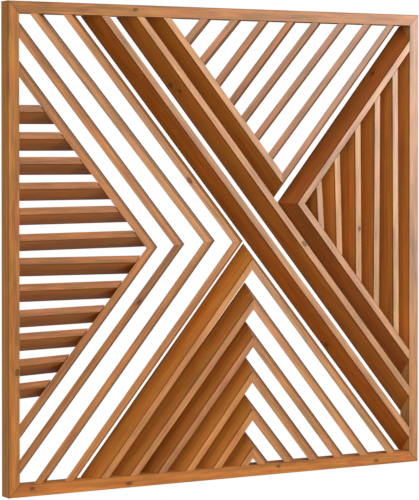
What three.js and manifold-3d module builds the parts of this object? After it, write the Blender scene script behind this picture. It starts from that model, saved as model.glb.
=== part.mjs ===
// Square slatted wall screen. A mitred frame holds six fields of louvre boards. The front edge of
// every board is flush with the frame's front, and its back edge is shifted sideways, so each board
// leans thirty to thirty-seven degrees. Millimetres, +X to the right, +Z up, the front faces -Y, and
// the back lies on the wall plane y = 0. The origin is the middle of the top rail's back face.
import * as THREE from 'three';
import { mergeVertices } from 'three/addons/utils/BufferGeometryUtils.js';
import Module from 'manifold-3d';

const wasm = await Module();
wasm.setup();

// Driving dimensions
const WIDTH = 914;            // outside of the square frame
const DEPTH = 32;             // front face to back face
const RAIL = 22;              // face width of the frame members
const ARRIS = 1.5;            // radius of the frame's outer front arris
const EDGE = 13;              // front edge of a louvre board
const SLANT = 18.5;           // sideways shift of a board's back edge, where the layout gives none
const BROAD_SLANT = 22;       // the same for the diagonals and the chevron arms that lead left
const GAP = 0.3;              // clearance in every glued joint
const OPEN_JOINT = 1;         // clearance where the level slats stop at the first chevron
const ARC_STEPS = 4;          // facets of the rounded arris
const REACH = 3 * WIDTH;      // longer than anything the saw has to cut

// Layout. Distances are taken from the frame's left and top outer edges, angles from the level.
const LEVEL_SLATS = {
  lower: [203.6, 253.5, 299.3, 346.5, 392.9, 441.3, 484.8, 533.3, 580.9, 623.5, 671.2, 715.6],
  rise: [0, 0, -0.2, 0.1, 0.4, 0.5, -0.5, 0, 1, 1.2, 2.3, 2.8],
  slant: [22.7, 22.5, 21.3, 22.3, 21, 20.9, 24, 23.2, 23.2, 24.3, 23.8, 21.4],
};
const RIGHT_CHEVRONS = {
  tips: [[302, 461], [361, 456.8], [426.6, 452.1], [491, 454.4]],
  upper: [50.6, 50.3, 49.5, 49.9],
  lower: [50.3, 50.25, 50.6, 50.4],
  slant: [18.6, 18.6, 20.2, 19.2],
};
const UP_CHEVRONS = {
  tips: [[519.2, 489.6], [522.1, 567.1], [521.1, 640.8], [519.4, 710.2], [519.7, 784.2], [521, 859]],
  left: [50.6, 50.1, 50, 50.9, 50.8, 50.3],
  right: [50.2, 50.7, 50.7, 50.9, 50.3, 50.3],
  rightSlant: [18.5, 19, 19.1, 19.7, 18.8, 19],
};
const LEFT_CHEVRON = { tip: [623.6, 381.4], upper: 50.75, lower: 50.3, upperSlant: 23.4 };
const MAIN_DIAGONALS = { atTopRail: [190, 264.7], fall: [50.15, 50.35] };
const VEE = { tip: [588, 340.2], left: 50.1, right: 50.25 };
const CROSS_SLATS = {
  atTopRail: [419.5, 487.6, 551.6, 614.1, 673.1, 735.1, 796],
  rise: [48.1, 47.7, 49.65, 49.7, 49, 48.8, 49.3],
};
const UPRIGHT_SLATS = {
  middle: 381,
  left: [669.6, 712.7, 760.7, 805.8, 851.5, 893.5],
  lean: [3.6, 1.7, 0.5, -0.3, 0.4, 0],
};

// Finishes: oiled softwood, redder on some boards than on others
const COLOURS = {
  frame: 0xb87c50,
  level: 0xa96f45,
  chevron: 0xb07347,
  diagonal: 0xa06435,
  cross: 0xb98361,
  upright: 0xb58059,
};

const panel = new THREE.Group();
panel.name = 'slatted_wall_screen';

function oiledWood(colour) {
  return new THREE.MeshStandardMaterial({ color: colour, roughness: 0.6, metalness: 0 });
}

// Point on the front plane, from distances right of the left edge and down from the top edge
function onFront(right, down) {
  return new THREE.Vector3(right - WIDTH / 2, -DEPTH, RAIL / 2 - down);
}

function toSolid(geometry) {
  geometry.deleteAttribute('normal');
  geometry.deleteAttribute('uv');
  const merged = mergeVertices(geometry, 1e-5);
  const vertProperties = new Float32Array(merged.attributes.position.array);
  const triVerts = new Uint32Array(merged.index.array);
  return new wasm.Manifold(new wasm.Mesh({ numProp: 3, vertProperties, triVerts }));
}

function toGeometry(solid) {
  const mesh = solid.getMesh();
  const geometry = new THREE.BufferGeometry();
  geometry.setAttribute('position', new THREE.BufferAttribute(mesh.vertProperties, 3));
  geometry.setIndex(new THREE.BufferAttribute(mesh.triVerts, 1));
  return geometry;
}

// Waste block: everything on the far side of a saw plane that has this outward normal
function wasteBeyond(normal, point) {
  const block = new THREE.BoxGeometry(REACH, REACH, REACH);
  block.translate(0, 0, REACH / 2);
  const turn = new THREE.Quaternion().setFromUnitVectors(new THREE.Vector3(0, 0, 1), normal);
  block.applyQuaternion(turn);
  block.translate(point.x, point.y, point.z);
  return toSolid(block);
}

function saw(solid, cuts) {
  return cuts.reduce((left, cut) => left.subtract(wasteBeyond(cut.normal, cut.point)), solid);
}

function addPiece(name, solid, colour) {
  const mesh = new THREE.Mesh(toGeometry(solid), oiledWood(colour));
  mesh.name = name;
  panel.add(mesh);
}

// ---- Frame ------------------------------------------------------------------------------------

// Section of a member: u runs from the opening to the outer edge, v from the back to the front
function memberSection() {
  const section = new THREE.Shape();
  section.moveTo(0, 0);
  section.lineTo(RAIL, 0);
  section.lineTo(RAIL, DEPTH - ARRIS);
  section.absarc(RAIL - ARRIS, DEPTH - ARRIS, ARRIS, 0, Math.PI / 2, false);
  section.lineTo(0, DEPTH);
  section.closePath();
  return section;
}

// Each member is the top rail turned by quarter turns about the screen's middle, with its ends
// mitred at forty-five degrees
function addMember(name, quarterTurns) {
  const bar = new THREE.ExtrudeGeometry(memberSection(), {
    depth: WIDTH,
    bevelEnabled: false,
    curveSegments: ARC_STEPS,
  });
  bar.translate(WIDTH / 2 - RAIL, 0, -WIDTH / 2);
  const alongX = new THREE.Matrix4().makeBasis(
    new THREE.Vector3(0, 0, 1),
    new THREE.Vector3(0, -1, 0),
    new THREE.Vector3(1, 0, 0),
  );
  bar.applyMatrix4(alongX);
  const corner = WIDTH / 2 - GAP / 2;
  const mitres = [1, -1].map((side) => ({
    normal: new THREE.Vector3(side, 0, -1).normalize(),
    point: new THREE.Vector3(side * corner, 0, corner),
  }));
  const mitred = toGeometry(saw(toSolid(bar), mitres));
  mitred.rotateY(quarterTurns * Math.PI / 2);
  mitred.translate(0, 0, RAIL / 2 - WIDTH / 2);
  addPiece(name, toSolid(mitred), COLOURS.frame);
}

// ---- Louvre boards ----------------------------------------------------------------------------

// A board's run: a point on its leading front edge, the direction it runs in, and the side its
// back edge is shifted towards, both in the plane of the front
function boardRun(point, angle, leadTurn, slant = SLANT) {
  const along = new THREE.Vector3(1, 0, 0).applyAxisAngle(new THREE.Vector3(0, -1, 0), angle);
  const lead = along.clone().applyAxisAngle(new THREE.Vector3(0, -1, 0), leadTurn * Math.PI / 2);
  return { point, along, lead, slant };
}

function degrees(angle) {
  return THREE.MathUtils.degToRad(angle);
}

// The leaning plank itself, far too long, before its ends are cut
function plank(run) {
  const section = new THREE.Shape();
  section.moveTo(0, 0);
  section.lineTo(-EDGE, 0);
  section.lineTo(run.slant - EDGE, DEPTH);
  section.lineTo(run.slant, DEPTH);
  section.closePath();
  const geometry = new THREE.ExtrudeGeometry(section, { depth: REACH, bevelEnabled: false });
  geometry.translate(0, 0, -REACH / 2);
  const inward = new THREE.Vector3(0, 1, 0);
  const length = new THREE.Vector3().crossVectors(run.lead, inward);
  geometry.applyMatrix4(new THREE.Matrix4().makeBasis(run.lead, inward, length));
  geometry.translate(run.point.x, run.point.y, run.point.z);
  return toSolid(geometry);
}

// The four inner faces of the frame, which end most boards
function frameCuts() {
  const half = WIDTH / 2 - RAIL - GAP;
  const middle = new THREE.Vector3(0, 0, RAIL / 2 - WIDTH / 2);
  const sides = [[1, 0], [-1, 0], [0, 1], [0, -1]];
  return sides.map(([x, z]) => {
    const normal = new THREE.Vector3(x, 0, z);
    return { normal, point: middle.clone().addScaledVector(normal, half) };
  });
}

// The trailing face of another board, which ends the boards that butt against it
function trailingFaceCut(run, gap = GAP) {
  const normal = run.lead.clone().multiplyScalar(DEPTH).add(new THREE.Vector3(0, -run.slant, 0));
  normal.normalize();
  const point = run.point.clone().addScaledVector(run.lead, -EDGE).addScaledVector(normal, -gap);
  return { normal, point };
}

// The mitre between two arms that meet at a tip, keeping the side of the first arm. Where one arm
// leans more than the other, the joint turns away from it towards the back
function mitreCut(kept, other) {
  const across = other.lead.clone().sub(kept.lead);
  const backShift = (other.slant - kept.slant) / across.length();
  const normal = across.setLength(DEPTH).add(new THREE.Vector3(0, -backShift, 0)).normalize();
  return { normal, point: kept.point.clone().addScaledVector(normal, -GAP / 2) };
}

function addBoard(name, run, colour, cuts = []) {
  addPiece(name, saw(plank(run), [...frameCuts(), ...cuts]), colour);
}

// Two arms mitred at a front tip, each lying on one side of it
function addPair(names, arms, colour) {
  addBoard(names[0], arms[0], colour, [mitreCut(arms[0], arms[1])]);
  addBoard(names[1], arms[1], colour, [mitreCut(arms[1], arms[0])]);
}

// ---- Fields of the screen ---------------------------------------------------------------------

// Chevrons that point right: both arms lead towards the right
function rightChevronArms(index) {
  const tip = onFront(...RIGHT_CHEVRONS.tips[index]);
  const slant = RIGHT_CHEVRONS.slant[index];
  return [
    boardRun(tip, degrees(180 - RIGHT_CHEVRONS.upper[index]), -1, slant),
    boardRun(tip, degrees(180 + RIGHT_CHEVRONS.lower[index]), 1, slant),
  ];
}

function addRightChevrons() {
  RIGHT_CHEVRONS.tips.forEach((tip, index) => {
    const name = `right_chevron_${index + 1}`;
    addPair([`${name}_upper`, `${name}_lower`], rightChevronArms(index), COLOURS.chevron);
  });
}

// Level slats run from the left stile to the first chevron and lead downwards
function addLevelSlats() {
  const ends = rightChevronArms(0).map((arm) => trailingFaceCut(arm, OPEN_JOINT));
  LEVEL_SLATS.lower.forEach((down, index) => {
    const start = onFront(RAIL, down);
    const run = boardRun(start, degrees(LEVEL_SLATS.rise[index]), -1, LEVEL_SLATS.slant[index]);
    addBoard(`level_slat_${index + 1}`, run, COLOURS.level, ends);
  });
}

// Chevrons that point up: both arms lead upwards
function addUpChevrons() {
  UP_CHEVRONS.tips.forEach((place, index) => {
    const tip = onFront(...place);
    const arms = [
      boardRun(tip, degrees(180 + UP_CHEVRONS.left[index]), -1, BROAD_SLANT),
      boardRun(tip, degrees(-UP_CHEVRONS.right[index]), 1, UP_CHEVRONS.rightSlant[index]),
    ];
    const name = `up_chevron_${index + 1}`;
    addPair([`${name}_left`, `${name}_right`], arms, COLOURS.chevron);
  });
}

// One chevron that points left, with the upright slats between its arms. The right stile cuts off
// the front of the last slat
function addLeftChevronField() {
  const tip = onFront(...LEFT_CHEVRON.tip);
  const arms = [
    boardRun(tip, degrees(LEFT_CHEVRON.upper), 1, LEFT_CHEVRON.upperSlant),
    boardRun(tip, degrees(-LEFT_CHEVRON.lower), -1, BROAD_SLANT),
  ];
  addPair(['left_chevron_upper', 'left_chevron_lower'], arms, COLOURS.cross);
  const ends = arms.map((arm) => trailingFaceCut(arm));
  UPRIGHT_SLATS.left.forEach((right, index) => {
    const start = onFront(right, UPRIGHT_SLATS.middle);
    const run = boardRun(start, degrees(90 + UPRIGHT_SLATS.lean[index]), 1);
    addBoard(`upright_slat_${index + 1}`, run, COLOURS.upright, ends);
  });
}

// Two diagonals that cross the whole screen and lead down to the left
function addMainDiagonals() {
  MAIN_DIAGONALS.atTopRail.forEach((right, index) => {
    const fall = degrees(-MAIN_DIAGONALS.fall[index]);
    const run = boardRun(onFront(right, RAIL), fall, -1, BROAD_SLANT);
    addBoard(`main_diagonal_${index + 1}`, run, COLOURS.diagonal);
  });
}

// The third diagonal is mitred to the last cross slat in a V, and the other cross slats butt
// against it
function addVeeField() {
  const tip = onFront(...VEE.tip);
  const arms = [
    boardRun(tip, degrees(180 - VEE.left), 1, BROAD_SLANT),
    boardRun(tip, degrees(VEE.right), -1),
  ];
  addPair(['main_diagonal_3', 'cross_slat_8'], arms, COLOURS.diagonal);
  const ends = [trailingFaceCut(arms[0])];
  CROSS_SLATS.atTopRail.forEach((right, index) => {
    const run = boardRun(onFront(right, RAIL), degrees(CROSS_SLATS.rise[index]), -1);
    addBoard(`cross_slat_${index + 1}`, run, COLOURS.cross, ends);
  });
}

['top_rail', 'left_stile', 'bottom_rail', 'right_stile'].forEach((name, turns) => {
  addMember(name, -turns);
});
addLevelSlats();
addRightChevrons();
addMainDiagonals();
addVeeField();
addLeftChevronField();
addUpChevrons();

export default panel;
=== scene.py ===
"""Slatted wall screen in oiled softwood: a mitred frame round six fields of leaning louvre boards.

The frame's own solids give every board its size and place. Each board is re-cut here with sanded
arrises, and carries its own grain: a solid wood pattern that runs along the board, so that the
narrow front edge and the wide face show the same growth rings from two sides.
"""
import math
import random

import bmesh
import bpy
from mathutils import Matrix, Vector


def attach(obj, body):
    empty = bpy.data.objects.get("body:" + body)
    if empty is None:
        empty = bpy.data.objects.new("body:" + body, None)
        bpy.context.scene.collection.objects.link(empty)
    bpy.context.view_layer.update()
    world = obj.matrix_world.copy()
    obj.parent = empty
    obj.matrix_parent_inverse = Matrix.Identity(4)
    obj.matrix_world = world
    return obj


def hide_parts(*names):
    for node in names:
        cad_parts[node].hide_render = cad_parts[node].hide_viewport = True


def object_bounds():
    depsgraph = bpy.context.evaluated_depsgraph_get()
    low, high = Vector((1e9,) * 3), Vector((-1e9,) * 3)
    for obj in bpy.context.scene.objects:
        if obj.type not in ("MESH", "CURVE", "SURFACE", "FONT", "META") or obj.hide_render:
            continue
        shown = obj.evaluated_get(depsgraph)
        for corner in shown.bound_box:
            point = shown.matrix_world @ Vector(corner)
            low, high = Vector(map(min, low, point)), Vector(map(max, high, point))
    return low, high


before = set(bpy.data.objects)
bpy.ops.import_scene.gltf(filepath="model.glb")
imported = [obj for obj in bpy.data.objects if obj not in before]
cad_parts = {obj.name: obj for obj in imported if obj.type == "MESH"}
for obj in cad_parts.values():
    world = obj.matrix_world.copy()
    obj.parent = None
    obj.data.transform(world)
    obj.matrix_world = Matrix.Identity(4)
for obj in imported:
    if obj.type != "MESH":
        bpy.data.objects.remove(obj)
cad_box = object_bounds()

MM = 0.001

# ---- Joinery and sanding ----------------------------------------------------------------------

SAME_POINT = 0.00001            # corners of the loose solids closer than this are one
FLAT_ANGLE = math.radians(0.5)  # faces that turn less than this are one flat face
SHARP_ANGLE = math.radians(32)  # arrises that turn more than this are sanded
BOARD_ARRIS = 0.7 * MM          # sanded arris of a louvre board
FRAME_ARRIS = 0.6 * MM          # sanded arris of a frame member, beside its rounded front one
ARRIS_STEPS = 3
ALONG_SHARE = 0.999             # an edge this much in line with the board runs along it

# The slot of each field of boards
SLOTS = {
    "frame": "frame",
    "level_slat": "level_slats",
    "right_chevron": "chevrons",
    "up_chevron": "chevrons",
    "main_diagonal": "diagonals",
    "cross_slat": "cross_slats",
    "left_chevron": "cross_slats",
    "upright_slat": "upright_slats",
}

# Knots: millimetres to the right of the frame's left edge, down from its top edge and back from its
# front, and the knot's radius
KNOTS = {
    "top_rail": [(262, 9, 0, 3.2)],
    "left_stile": [(17, 683, 0, 4)],
    "bottom_rail": [(47, 899, 0, 3), (248, 906, 0, 3.5), (579, 899, 0, 3), (811, 905, 0, 3)],
    "main_diagonal_1": [(706, 667, 24, 3.5)],
    "main_diagonal_2": [(639, 461, 0, 4), (350, 150, 24, 3), (366, 161, 16, 2.5)],
    "left_chevron_upper": [(816, 120, 22, 3)],
    "cross_slat_4": [(634, 60, 0, 3)],
    "right_chevron_4_upper": [(379, 333, 0, 4.5)],
    "right_chevron_2_lower": [(270, 563, 0, 3.5)],
    "upright_slat_3": [(770, 434, 0, 3)],
}
NO_KNOT = Vector((9, 9, 9))     # the place of a board without one, in knot radii

# ---- Wood -------------------------------------------------------------------------------------

GRAIN_SEED = 1931
RING_WIDTH = 2.6 * MM
RING_DRIFT = 12 * MM
PITH_NEAR = 35 * MM             # distance from a board to the middle of its tree, least and most
PITH_FAR = 120 * MM
TREE_LENGTH = 4.0               # metres of tree that the boards are cut from

# Patterns: cycles a metre along, across and through the board, and layers of finer detail
RING_WANDER = ((2.5, 16, 16), 2)
RING_PATCHES = ((4, 45, 45), 2)
STREAKS = ((5, 170, 170), 3)
CLOUD = ((3, 22, 22), 2)
FIGURE = ((16, 95, 95), 2)
OLIVE = ((22, 60, 60), 1)
FIBRES = ((26, 1100, 1100), 2)
PORES = ((120, 1500, 1500), 1)
KNOT_FRAY = ((300, 300, 300), 2)
LATE_WOOD = [(0.0, 0.1), (0.4, 0.25), (0.82, 1.0), (0.97, 0.15)]    # across one ring
KNOT_DRAW = 0.35                # below 1, so that a knot is longer along the board

# How much each pattern changes the shade, on the wide faces and on the front edge
STREAK_SHADE = (0.9, 1.4)
CLOUD_SHADE = (0.45, 0.6)
FIGURE_SHADE = (0.3, 0.7)
FIBRE_SHADE = (0.35, 1.15)
PORE_SHADE = 0.25
HALO_SHADE = 0.12
ARRIS_WEAR_AND_HIGHLIGHT = (0.12, 0.52)     # a rubbed arris with a painted highlight along it, on faces turned to the left and to the right

# How far a face has to turn to the front, the right or downwards: where its mask starts, and where
# it is whole
FRONT_FACING = (0.62, 0.97)
ARRIS_START = (0.52, 0.7)
ARRIS_END = (0.8, 0.985)
RIGHT_FACING = (0.25, 0.5)
DOWN_FACING = (0.9, 0.98)

# Painted shade on the back edges, behind the front arrises and on the frame's undersides, and the
# stain
# of the mitres: the depths, or for a mitre the distances from its line, between which each comes in
# or fades, and how much it darkens
THIN_BACK = (-3.2 * MM, -1.2 * MM)
THIN_BACK_SHADE = 0.45
BROAD_BACK = (-17 * MM, -8 * MM)
BROAD_BACK_SHADE = 0.62
BEHIND_ARRIS = (-30.8 * MM, -28.4 * MM)
BEHIND_ARRIS_SHADE = 0.5
MITRE_LINE = (0.5 * MM, 1.9 * MM)
MITRE_STAIN = 0.5
UNDERSIDE_SHADE = 0.5


class Wood:
    """Early and late wood of one finish, as sRGB hex, on the wide faces and on the front edge."""

    def __init__(self, wide, front, polish, mitred=False):
        self.wide = wide
        self.front = front
        self.polish = polish    # share of the front that is rubbed to a sheen
        self.mitred = mitred    # the members meet in stained mitres, and get painted shade on their undersides


WOODS = {
    "frame": Wood(("e0994f", "c2763a"), ("cf8231", "b3651e"), 0.72, mitred=True),
    "level_slat": Wood(("c0742f", "9e581e"), ("c97c3a", "aa6229"), 0.85),
    "right_chevron": Wood(("c78335", "a6601e"), ("cf8337", "b16623"), 0.9),
    "up_chevron": Wood(("d48531", "b2631c"), ("d4893a", "b66a25"), 0.95),
    "main_diagonal": Wood(("bc6b1b", "984d0e"), ("d9954f", "b77335"), 1.0),
    "cross_slat": Wood(("bb7639", "9b5b28"), ("c27939", "a6622a"), 0.6),
    "left_chevron": Wood(("b7651e", "974d14"), ("df9450", "bf783d"), 1.0),
    "upright_slat": Wood(("d88030", "b05d1b"), ("dc9a53", "b97638"), 1.0),
}
KNOT_COLOUR = "3a1c0c"

# The oil's finish
ROUGHNESS = 0.5
SPECULAR = 0.3
COAT_ROUGHNESS = 0.43
COAT_INDEX = 1.75
SIDE_POLISH = 0.55              # of a wide face turned to the right, where the front's is 1
RELIEF = 0.25 * MM

# Each board's lightness, lean to the red and polish, against its field's own
BOARD_TONES = {
    "top_rail": (0.98, -0.01, 0.85),
    "right_stile": (1.04, -0.09, 1.4),
    "bottom_rail": (1.02, 0.08, 0.45),
    "left_stile": (1.12, 0.02, 0.75),
    "level_slat_1": (1.0, 0.0, 1.3),
    "level_slat_2": (1.0, 0.0, 1.15),
    "level_slat_5": (1.08, 0.0, 0.95),
    "level_slat_6": (0.97, 0.02, 0.75),
    "level_slat_7": (1.0, 0.0, 0.8),
    "level_slat_8": (1.0, 0.0, 0.85),
    "level_slat_9": (1.06, 0.01, 1.05),
    "level_slat_10": (1.06, 0.01, 1.1),
    "level_slat_11": (1.0, 0.03, 0.95),
    "level_slat_12": (0.95, 0.04, 0.8),
    "right_chevron_1_lower": (1.02, 0.03, 0.8),
    "right_chevron_1_upper": (1.05, 0.0, 1.0),
    "right_chevron_2_lower": (0.76, 0.05, 0.7),
    "right_chevron_2_upper": (1.02, 0.0, 0.95),
    "right_chevron_3_lower": (0.88, 0.02, 0.8),
    "right_chevron_3_upper": (1.15, -0.07, 1.2),
    "right_chevron_4_lower": (1.1, 0.02, 0.9),
    "right_chevron_4_upper": (1.07, -0.03, 1.1),
    "main_diagonal_1": (0.9, 0.03, 1.15),
    "main_diagonal_2": (1.06, 0.01, 1.1),
    "main_diagonal_3": (1.06, -0.04, 1.05),
    "cross_slat_1": (1.15, -0.04, 1.3),
    "cross_slat_2": (1.12, 0.0, 1.15),
    "cross_slat_3": (0.92, 0.04, 0.85),
    "cross_slat_4": (0.8, 0.05, 0.65),
    "cross_slat_5": (0.92, 0.0, 0.85),
    "cross_slat_7": (1.06, 0.0, 1.05),
    "cross_slat_8": (0.95, -0.02, 1.1),
    "left_chevron_lower": (0.9, 0.02, 1.3),
    "left_chevron_upper": (1.0, 0.02, 1.15),
    "up_chevron_1_left": (1.18, 0.0, 1.0),
    "up_chevron_1_right": (1.09, -0.05, 1.3),
    "up_chevron_2_left": (0.97, 0.03, 1.1),
    "up_chevron_2_right": (1.1, -0.05, 1.22),
    "up_chevron_3_left": (0.74, 0.08, 1.05),
    "up_chevron_3_right": (0.96, -0.02, 1.05),
    "up_chevron_4_left": (1.08, 0.02, 0.8),
    "up_chevron_4_right": (1.06, 0.0, 1.05),
    "up_chevron_5_left": (1.05, 0.03, 0.75),
    "up_chevron_5_right": (1.08, 0.02, 1.05),
    "up_chevron_6_left": (0.98, 0.01, 0.95),
    "up_chevron_6_right": (0.93, 0.0, 0.95),
    "upright_slat_1": (0.88, 0.03, 1.1),
    "upright_slat_2": (1.15, 0.0, 1.0),
    "upright_slat_3": (1.0, 0.0, 0.95),
    "upright_slat_4": (0.96, 0.0, 1.1),
    "upright_slat_5": (1.0, -0.05, 1.15),
    "upright_slat_6": (1.12, -0.06, 1.0),
}

# ---- Room -------------------------------------------------------------------------------------

CAMERA_PLACE = (-2.0125, -3.5316, -0.2467)
CAMERA_PITCH = -0.93            # degrees, positive upwards
CAMERA_YAW = -29.48             # degrees, positive to the left
CAMERA_LENS = 149.9             # millimetres
CAMERA_SENSOR = 36              # millimetres
CAMERA_SHIFT = -0.15            # keeps the uprights upright
CAMERA_REACH = 50               # metres

FLOOR_DROP = 0.85               # from the bottom rail to the floor
FLOOR_RADIUS = 4.2
FLOOR_STEPS = 96
FLOOR_SOLID = 1.6               # beyond this far from the middle the floor thins into the white
FLOOR_PAINT = ("e9e7e3", "f1f0ed")
FLOOR_GLOW = 0.2                # the floor is lit from within, so that it stays pale

SCREEN_MIDDLE = (0, 0, -0.45)   # what most of the lights point at
AMBIENT = 0.16                  # strength of the white surroundings as light
WHITE = (1, 1, 1, 1)


# ---- Shader sheets ----------------------------------------------------------------------------

def linear(hex_colour):
    """Linear colour, with its alpha, from sRGB hex."""
    parts = [int(hex_colour[i:i + 2], 16) / 255 for i in (0, 2, 4)]
    low = [c / 12.92 for c in parts]
    high = [((c + 0.055) / 1.055) ** 2.4 for c in parts]
    return tuple(h if c > 0.04045 else l for c, l, h in zip(parts, low, high)) + (1,)


class Wire:
    """An output of a shader node. An expression on wires and numbers adds its Math nodes."""

    def __init__(self, sheet, socket):
        self.sheet = sheet
        self.socket = socket

    def math(self, operation, *values):
        settings = {"operation": operation}
        return self.sheet.add("ShaderNodeMath", settings, dict(enumerate(values)))

    def __add__(self, other):
        return self.math("ADD", self, other)

    def __radd__(self, other):
        return self.math("ADD", other, self)

    def __sub__(self, other):
        return self.math("SUBTRACT", self, other)

    def __rsub__(self, other):
        return self.math("SUBTRACT", other, self)

    def __mul__(self, other):
        return self.math("MULTIPLY", self, other)

    def __rmul__(self, other):
        return self.math("MULTIPLY", other, self)

    def __truediv__(self, other):
        return self.math("DIVIDE", self, other)

    def __pow__(self, other):
        return self.math("POWER", self, other)

    def __neg__(self):
        return self.math("MULTIPLY", self, -1)

    def __abs__(self):
        return self.math("ABSOLUTE", self)

    def fraction(self):
        return self.math("FRACT", self)


class Sheet:
    """A node tree being drawn."""

    def __init__(self, tree):
        self.tree = tree
        tree.nodes.clear()

    def add(self, kind, settings=None, values=None, out=0):
        """Adds a node: its settings first, then the values or wires of its sockets."""
        node = self.tree.nodes.new(kind)
        for name, value in (settings or {}).items():
            if name == "stops":
                self.set_stops(node.color_ramp, value)
            else:
                setattr(node, name, value)
        for name, value in (values or {}).items():
            if isinstance(value, Wire):
                self.tree.links.new(value.socket, node.inputs[name])
            else:
                node.inputs[name].default_value = value
        return Wire(self, node.outputs[out]) if len(node.outputs) else None

    @staticmethod
    def set_stops(ramp, stops):
        for index, (place, value) in enumerate(stops):
            stop = ramp.elements[index] if index < 2 else ramp.elements.new(place)
            stop.position = place
            stop.color = (value, value, value, 1)

    def attribute(self, name):
        return self.add("ShaderNodeAttribute", {"attribute_name": name}, out="Vector")

    def place(self):
        return self.add("ShaderNodeTexCoord", out="Object")

    def normal(self):
        return self.add("ShaderNodeNewGeometry", out="Normal")

    def split(self, vector):
        first = self.add("ShaderNodeSeparateXYZ", None, {0: vector})
        outputs = first.socket.node.outputs
        return [Wire(self, outputs[i]) for i in range(3)]

    def join(self, x, y, z):
        return self.add("ShaderNodeCombineXYZ", None, {0: x, 1: y, 2: z})

    def stretch(self, vector, scale):
        settings = {"operation": "MULTIPLY"}
        return self.add("ShaderNodeVectorMath", settings, {0: vector, 1: scale})

    def noise(self, vector, scale, detail):
        """Cloudy values about 0.5, with a scale for each direction, in cycles a metre."""
        values = {"Vector": self.stretch(vector, scale), "Scale": 1.0, "Detail": detail}
        return self.add("ShaderNodeTexNoise", None, values, out="Fac")

    def rise(self, value, low, high):
        """A smooth step from 0 at low to 1 at high."""
        values = {"Value": value, "From Min": low, "From Max": high}
        return self.add("ShaderNodeMapRange", {"interpolation_type": "SMOOTHSTEP"}, values)

    def blend(self, share, first, second, kind="MIX"):
        """Colours mixed by a share from 0 to 1."""
        settings = {"data_type": "RGBA", "blend_type": kind, "clamp_factor": True}
        return self.add("ShaderNodeMix", settings, {0: share, 6: first, 7: second}, out=2)

    def finish(self, shader, output="ShaderNodeOutputMaterial"):
        self.add(output, None, {"Surface": shader})


def new_material(name):
    """A material and the empty sheet that its shader is drawn on."""
    material = bpy.data.materials.new(name)
    material.use_nodes = True
    return material, Sheet(material.node_tree)


# ---- Oiled wood -------------------------------------------------------------------------------

def growth_rings(sheet, grain):
    """Late wood as 0 to 1: rings round the tree's middle, drifting along the board."""
    _, across, through = sheet.split(grain)
    drift = sheet.noise(grain, *RING_WANDER) - 0.5
    radius = (across * across + through * through) ** 0.5 + drift * RING_DRIFT
    part = (radius / RING_WIDTH).fraction()
    rings = sheet.add("ShaderNodeValToRGB", {"stops": LATE_WOOD}, {0: part})
    return rings * sheet.rise(sheet.noise(grain, *RING_PATCHES), 0.3, 0.62)


def knot_share(sheet):
    """The heart of a knot, the dark rim round it, and the wider swirl of grain it pushes aside."""
    along, across, through = sheet.split(sheet.attribute("knot"))
    distance = (along * along * KNOT_DRAW + across * across + through * through) ** 0.5
    ragged = sheet.noise(sheet.attribute("grain"), *KNOT_FRAY) - 0.5
    worn = distance + ragged * 0.5
    heart = 1 - sheet.rise(worn, 0.8, 1.15)
    rim = sheet.rise(worn, 0.5, 0.85) * heart
    halo = 1 - sheet.rise(distance, 0.9, 3.0)
    return heart, rim, halo


def wood_colour(sheet, wood, masks):
    wide, front = (
        sheet.blend(masks["late"], linear(early), linear(late))
        for early, late in (wood.wide, wood.front)
    )
    base = sheet.blend(masks["front"], wide, front)
    shade, red = masks["shade"], masks["red"]
    tint = sheet.join(shade + red, shade + masks["green"], shade - red * 1.2)
    base = sheet.blend(1.0, base, tint, "MULTIPLY")
    return sheet.blend(masks["knot"], base, linear(KNOT_COLOUR))


def painted_edge_shade(sheet, depth, turned_right, front):
    """Painted shade that darkens a board's back edge, the back half of a side turned to the right,
    and the side just behind its front arris.
    """
    thin_back = sheet.rise(depth, *THIN_BACK) * THIN_BACK_SHADE
    broad_back = sheet.rise(depth, *BROAD_BACK) * BROAD_BACK_SHADE
    behind_arris = (1 - sheet.rise(depth, *BEHIND_ARRIS)) * (1 - front) * BEHIND_ARRIS_SHADE
    return (1 - turned_right) * (thin_back + behind_arris) + turned_right * broad_back


def mitre_stain_and_underside_shade(sheet, place, normal_z):
    """The dark lines of the mitres, as far from the stile as from the rail, and painted shade on
    the undersides.
    """
    x, _, z = sheet.split(place)
    low, high = cad_box
    from_side = high.x - abs(x)
    from_end = (high.z - low.z) / 2 - abs(z - (low.z + high.z) / 2)
    mitre = 1 - sheet.rise(abs(from_side - from_end), *MITRE_LINE)
    # Painted shade on faces turned downwards
    turned_down = sheet.rise(-normal_z, *DOWN_FACING)
    return mitre * MITRE_STAIN + turned_down * UNDERSIDE_SHADE


def between(mask, pair):
    """The first number of the pair where the mask is 0, and the second where it is 1."""
    first, second = pair
    return mask * (second - first) + first


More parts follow.
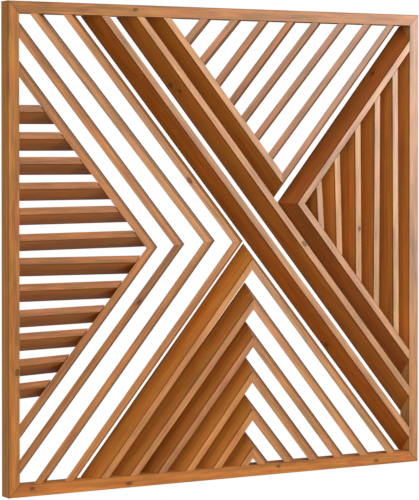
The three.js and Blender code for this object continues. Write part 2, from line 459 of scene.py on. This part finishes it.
def oiled_wood(name, wood):
    """A finish with rings, streaks, pores, knots, a paler sanded front, a painted highlight on the
    arris and painted shade on the back edge.
    """
    material, sheet = new_material(name)
    grain = sheet.attribute("grain")
    lightness, redness, polish = sheet.split(sheet.attribute("tone"))
    place = sheet.place()
    depth = sheet.split(place)[1]
    normal_x, normal_y, normal_z = sheet.split(sheet.normal())
    facing = -normal_y

    rings = growth_rings(sheet, grain)
    patterns = (STREAKS, CLOUD, FIGURE, OLIVE, FIBRES)
    streaks, cloud, figure, olive, fibres = (sheet.noise(grain, *p) - 0.5 for p in patterns)
    pores = sheet.rise(sheet.noise(grain, *PORES), 0.66, 0.78)
    heart, rim, halo = knot_share(sheet)

    front = sheet.rise(facing, *FRONT_FACING)
    arris = sheet.rise(facing, *ARRIS_START) * (1 - sheet.rise(facing, *ARRIS_END))
    turned_right = sheet.rise(normal_x, *RIGHT_FACING)
    # Painted shade: the back edges, the side just behind the front arris and, on the frame, the
    # undersides are darkened; the frame's mitres get a stained line
    painted_shade_and_mitre_stain = painted_edge_shade(sheet, depth, turned_right, front)
    if wood.mitred:
        painted_shade_and_mitre_stain = painted_shade_and_mitre_stain + mitre_stain_and_underside_shade(sheet, place, normal_z)
    # Painted highlight: the rubbed arris is lightened, much more on faces turned to the right
    shade = (lightness + arris * between(turned_right, ARRIS_WEAR_AND_HIGHLIGHT)
             + streaks * between(front, STREAK_SHADE) + cloud * between(front, CLOUD_SHADE)
             + figure * between(front, FIGURE_SHADE) + fibres * between(front, FIBRE_SHADE)
             - pores * PORE_SHADE - halo * HALO_SHADE)
    masks = {
        "late": rings * 0.55 + streaks * 0.6 + 0.1,
        "front": front,
        "shade": shade * (1 - painted_shade_and_mitre_stain),
        "red": redness + cloud * 0.15 + figure * (front * 0.1 + 0.1) + streaks * 0.08,
        "green": olive * 0.4,
        "knot": heart * 0.5 + rim * 0.25,
    }
    colour = wood_colour(sheet, wood, masks)
    roughness = ROUGHNESS + streaks * 0.12 + fibres * 0.1 - rings * 0.04 + pores * 0.1
    relief = rings * 0.5 + fibres * 0.5 - pores * 0.7 + streaks * 0.3 - heart * 0.4
    bump = sheet.add("ShaderNodeBump", None, {"Strength": 0.35, "Distance": RELIEF,
                                              "Height": relief})
    polished = front + (1 - front) * turned_right * SIDE_POLISH
    sheen = polished * polish * (1 - heart * 0.75) * (1 + figure * 0.6 + cloud * 0.4)
    sheet.finish(sheet.add("ShaderNodeBsdfPrincipled", None, {
        "Base Color": colour,
        "Roughness": roughness,
        "Normal": bump,
        "Specular IOR Level": SPECULAR,
        "Coat Weight": sheen * wood.polish,
        "Coat Roughness": COAT_ROUGHNESS,
        "Coat IOR": COAT_INDEX,
    }))
    return material


# ---- Boards -----------------------------------------------------------------------------------

def put_in_scene(name, data):
    thing = bpy.data.objects.new(name, data)
    bpy.context.scene.collection.objects.link(thing)
    return thing


def field_of(node_name):
    """The field that a board's name starts with; rails and stiles are the frame's."""
    return next((field for field in SLOTS if node_name.startswith(field)), "frame")


def merged_solid(node):
    """A bmesh of a node's solid with whole flat faces."""
    solid = bmesh.new()
    solid.from_mesh(node.data)
    bmesh.ops.remove_doubles(solid, verts=solid.verts, dist=SAME_POINT)
    bmesh.ops.dissolve_limit(solid, angle_limit=FLAT_ANGLE, verts=solid.verts, edges=solid.edges)
    return solid


def board_axes(solid):
    """Unit vectors along the board, across its widest face and through that face."""
    longest = max(solid.edges, key=lambda edge: edge.calc_length())
    along = (longest.verts[1].co - longest.verts[0].co).normalized()
    if along.x + along.z < 0:
        along.negate()
    widest = max(solid.faces, key=lambda face: face.calc_area())
    through = widest.normal.copy()
    return along, through.cross(along).normalized(), through


def sand_arrises(solid, along, width):
    """Rounds the sharp edges that run along the board and leaves the sawn ends crisp."""
    long_edges = [
        edge for edge in solid.edges
        if edge.calc_face_angle(0) > SHARP_ANGLE
        and abs((edge.verts[1].co - edge.verts[0].co).normalized().dot(along)) > ALONG_SHARE
    ]
    bmesh.ops.bevel(solid, geom=long_edges, offset=width, offset_type="OFFSET",
                    affect="EDGES", segments=ARRIS_STEPS, profile=0.5, material=-1,
                    clamp_overlap=True)


def knots_of(name, along):
    """Centres and radii of a board's knots in metres, in their order along the board."""
    low, high = cad_box
    knots = [
        (Vector((low.x + right * MM, low.y + back * MM, high.z - down * MM)), radius * MM)
        for right, down, back, radius in KNOTS.get(name, [])
    ]
    return sorted(knots, key=lambda knot: knot[0].dot(along))


def part_between_knots(solid, along, knots):
    """Cuts the faces midway between knots, so that each stretch of board has one knot."""
    for (first, _), (second, _) in zip(knots, knots[1:]):
        everything = [*solid.verts, *solid.edges, *solid.faces]
        bmesh.ops.bisect_plane(solid, geom=everything, dist=SAME_POINT,
                               plane_co=(first + second) / 2, plane_no=along)


def lay_grain(solid, axes, tree_place, tone):
    """Gives every corner its place in the tree and the board's own tone."""
    turn = Matrix(axes)
    grain = solid.verts.layers.float_vector.new("grain")
    tones = solid.verts.layers.float_vector.new("tone")
    for vert in solid.verts:
        vert[grain] = turn @ vert.co + tree_place
        vert[tones] = tone


def lay_knots(solid, axes, knots):
    """Gives every face corner its place from the nearest knot, in knot radii."""
    turn = Matrix(axes)
    layer = solid.loops.layers.float_vector.new("knot")
    for face in solid.faces:
        middle = face.calc_center_median()
        nearest = min(knots, key=lambda knot: abs((knot[0] - middle).dot(axes[0])), default=None)
        for loop in face.loops:
            if nearest:
                loop[layer] = turn @ (loop.vert.co - nearest[0]) / nearest[1]
            else:
                loop[layer] = NO_KNOT


def place_in_tree(chance, solid, axes):
    """Where this board was sawn from: an offset that puts the tree's middle beside it."""
    centre = sum((vert.co for vert in solid.verts), Vector()) / len(solid.verts)
    own = Matrix(axes) @ centre
    distance = chance.uniform(PITH_NEAR, PITH_FAR)
    angle = chance.uniform(0, math.tau)
    beside = Vector((chance.uniform(0, TREE_LENGTH), distance * math.cos(angle),
                     distance * math.sin(angle)))
    return beside - own


def board_tone(name, chance):
    """Lightness, lean to the red and polish: the board's own, or by chance close to even."""
    even = (chance.gauss(1, 0.03), chance.gauss(0, 0.015), chance.gauss(1, 0.05))
    return Vector(BOARD_TONES.get(name, even))


def smooth_arrises(solid):
    """Smooth faces that stay crisp at the sawn ends."""
    for face in solid.faces:
        face.smooth = True
    for edge in solid.edges:
        edge.smooth = edge.calc_face_angle(0) < SHARP_ANGLE


def cut_board(name, node, arris, chance):
    """The mesh of one board, sanded, with its grain, its tone and its knots."""
    solid = merged_solid(node)
    axes = board_axes(solid)
    knots = knots_of(name, axes[0])
    sand_arrises(solid, axes[0], arris)
    part_between_knots(solid, axes[0], knots)
    lay_grain(solid, axes, place_in_tree(chance, solid, axes), board_tone(name, chance))
    lay_knots(solid, axes, knots)
    smooth_arrises(solid)
    mesh = bpy.data.meshes.new(name + "_wood")
    solid.to_mesh(mesh)
    solid.free()
    return mesh


def make_board(name, node, chance, finishes):
    field = field_of(name)
    mesh = cut_board(name, node, FRAME_ARRIS if field == "frame" else BOARD_ARRIS, chance)
    mesh.materials.append(finishes[field])
    board = put_in_scene(name + "_wood", mesh)
    normals = board.modifiers.new("flat_faces", "WEIGHTED_NORMAL")
    normals.keep_sharp = True
    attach(board, "root")
    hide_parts(name)


def make_screen():
    finishes = {field: oiled_wood(f"oiled_{field}_wood", wood) for field, wood in WOODS.items()}
    chance = random.Random(GRAIN_SEED)
    for name in sorted(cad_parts):
        make_board(name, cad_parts[name], chance, finishes)


# ---- Room, light and camera -------------------------------------------------------------------

def floor_paint():
    """A pale matt paint that thins into the white round the floor's edge."""
    material, sheet = new_material("pale_floor_paint")
    place = sheet.place()
    mottle = sheet.noise(place, (3, 3, 3), 3)
    colour = sheet.blend(mottle, *(linear(paint) for paint in FLOOR_PAINT))
    x, y, _ = sheet.split(place)
    away = sheet.rise((x * x + y * y) ** 0.5, FLOOR_SOLID, FLOOR_RADIUS)
    paint = sheet.add("ShaderNodeBsdfPrincipled", None,
                      {"Base Color": colour, "Roughness": 0.8, "Emission Color": colour,
                       "Emission Strength": FLOOR_GLOW})
    clear = sheet.add("ShaderNodeBsdfTransparent")
    sheet.finish(sheet.add("ShaderNodeMixShader", None, {0: away, 1: paint, 2: clear}))
    return material


def make_floor():
    low, _ = cad_box
    plane = bmesh.new()
    bmesh.ops.create_circle(plane, cap_ends=True, segments=FLOOR_STEPS, radius=FLOOR_RADIUS)
    bmesh.ops.translate(plane, verts=plane.verts, vec=(0, 0, low.z - FLOOR_DROP))
    mesh = bpy.data.meshes.new("studio_floor")
    plane.to_mesh(mesh)
    plane.free()
    mesh.materials.append(floor_paint())
    put_in_scene("studio_floor", mesh)


def softbox(name, place, width, height, power, target=SCREEN_MIDDLE):
    """A rectangular area light that points at a target and doesn't show itself."""
    light = bpy.data.lights.new(name, "AREA")
    light.shape = "RECTANGLE"
    light.size = width
    light.size_y = height
    light.energy = power
    lamp = put_in_scene(name, light)
    lamp.location = place
    lamp.rotation_euler = (Vector(target) - Vector(place)).to_track_quat("-Z", "Y").to_euler()
    lamp.visible_camera = False


def make_lights():
    """Soft light from the left, and a softbox on the right that the polished fronts mirror."""
    softbox("right_softbox", (2.3, -2.05, 0.12), 1.2, 1.1, 43, target=(0.3, 0, -0.35))
    softbox("left_softbox", (-2.4, -1.8, 1.8), 2.0, 2.0, 23)
    softbox("near_light", (-2.1, -3.7, 0.35), 1.6, 1.2, 11)
    softbox("low_left_light", (-3.3, -2.9, 0.6), 1.8, 1.8, 4)
    softbox("front_light", (-0.6, -3.4, 1.6), 1.6, 1.6, 11)
    softbox("top_light", (0.4, -1.0, 2.4), 1.6, 1.0, 9, target=(0, 0, -0.2))
    softbox("back_light", (2.6, 0.8, 1.0), 1.6, 1.6, 12)


def make_daylight():
    """White to look at, softer as light."""
    world = bpy.data.worlds.new("white_studio")
    bpy.context.scene.world = world
    world.use_nodes = True
    sheet = Sheet(world.node_tree)
    seen = sheet.add("ShaderNodeBackground", None, {"Color": WHITE, "Strength": 1.0})
    felt = sheet.add("ShaderNodeBackground", None, {"Color": WHITE, "Strength": AMBIENT})
    direct = sheet.add("ShaderNodeLightPath", out="Is Camera Ray")
    both = sheet.add("ShaderNodeMixShader", None, {0: direct, 1: felt, 2: seen})
    sheet.finish(both, "ShaderNodeOutputWorld")
    bpy.context.scene.view_settings.view_transform = "Standard"


def make_camera():
    data = bpy.data.cameras.new("camera")
    data.lens = CAMERA_LENS
    data.sensor_width = CAMERA_SENSOR
    data.shift_y = CAMERA_SHIFT
    data.clip_end = CAMERA_REACH
    camera = put_in_scene("camera", data)
    camera.location = CAMERA_PLACE
    camera.rotation_euler = (math.radians(90 + CAMERA_PITCH), 0, math.radians(CAMERA_YAW))
    bpy.context.scene.camera = camera


make_camera()
make_screen()
make_floor()
make_lights()
make_daylight()
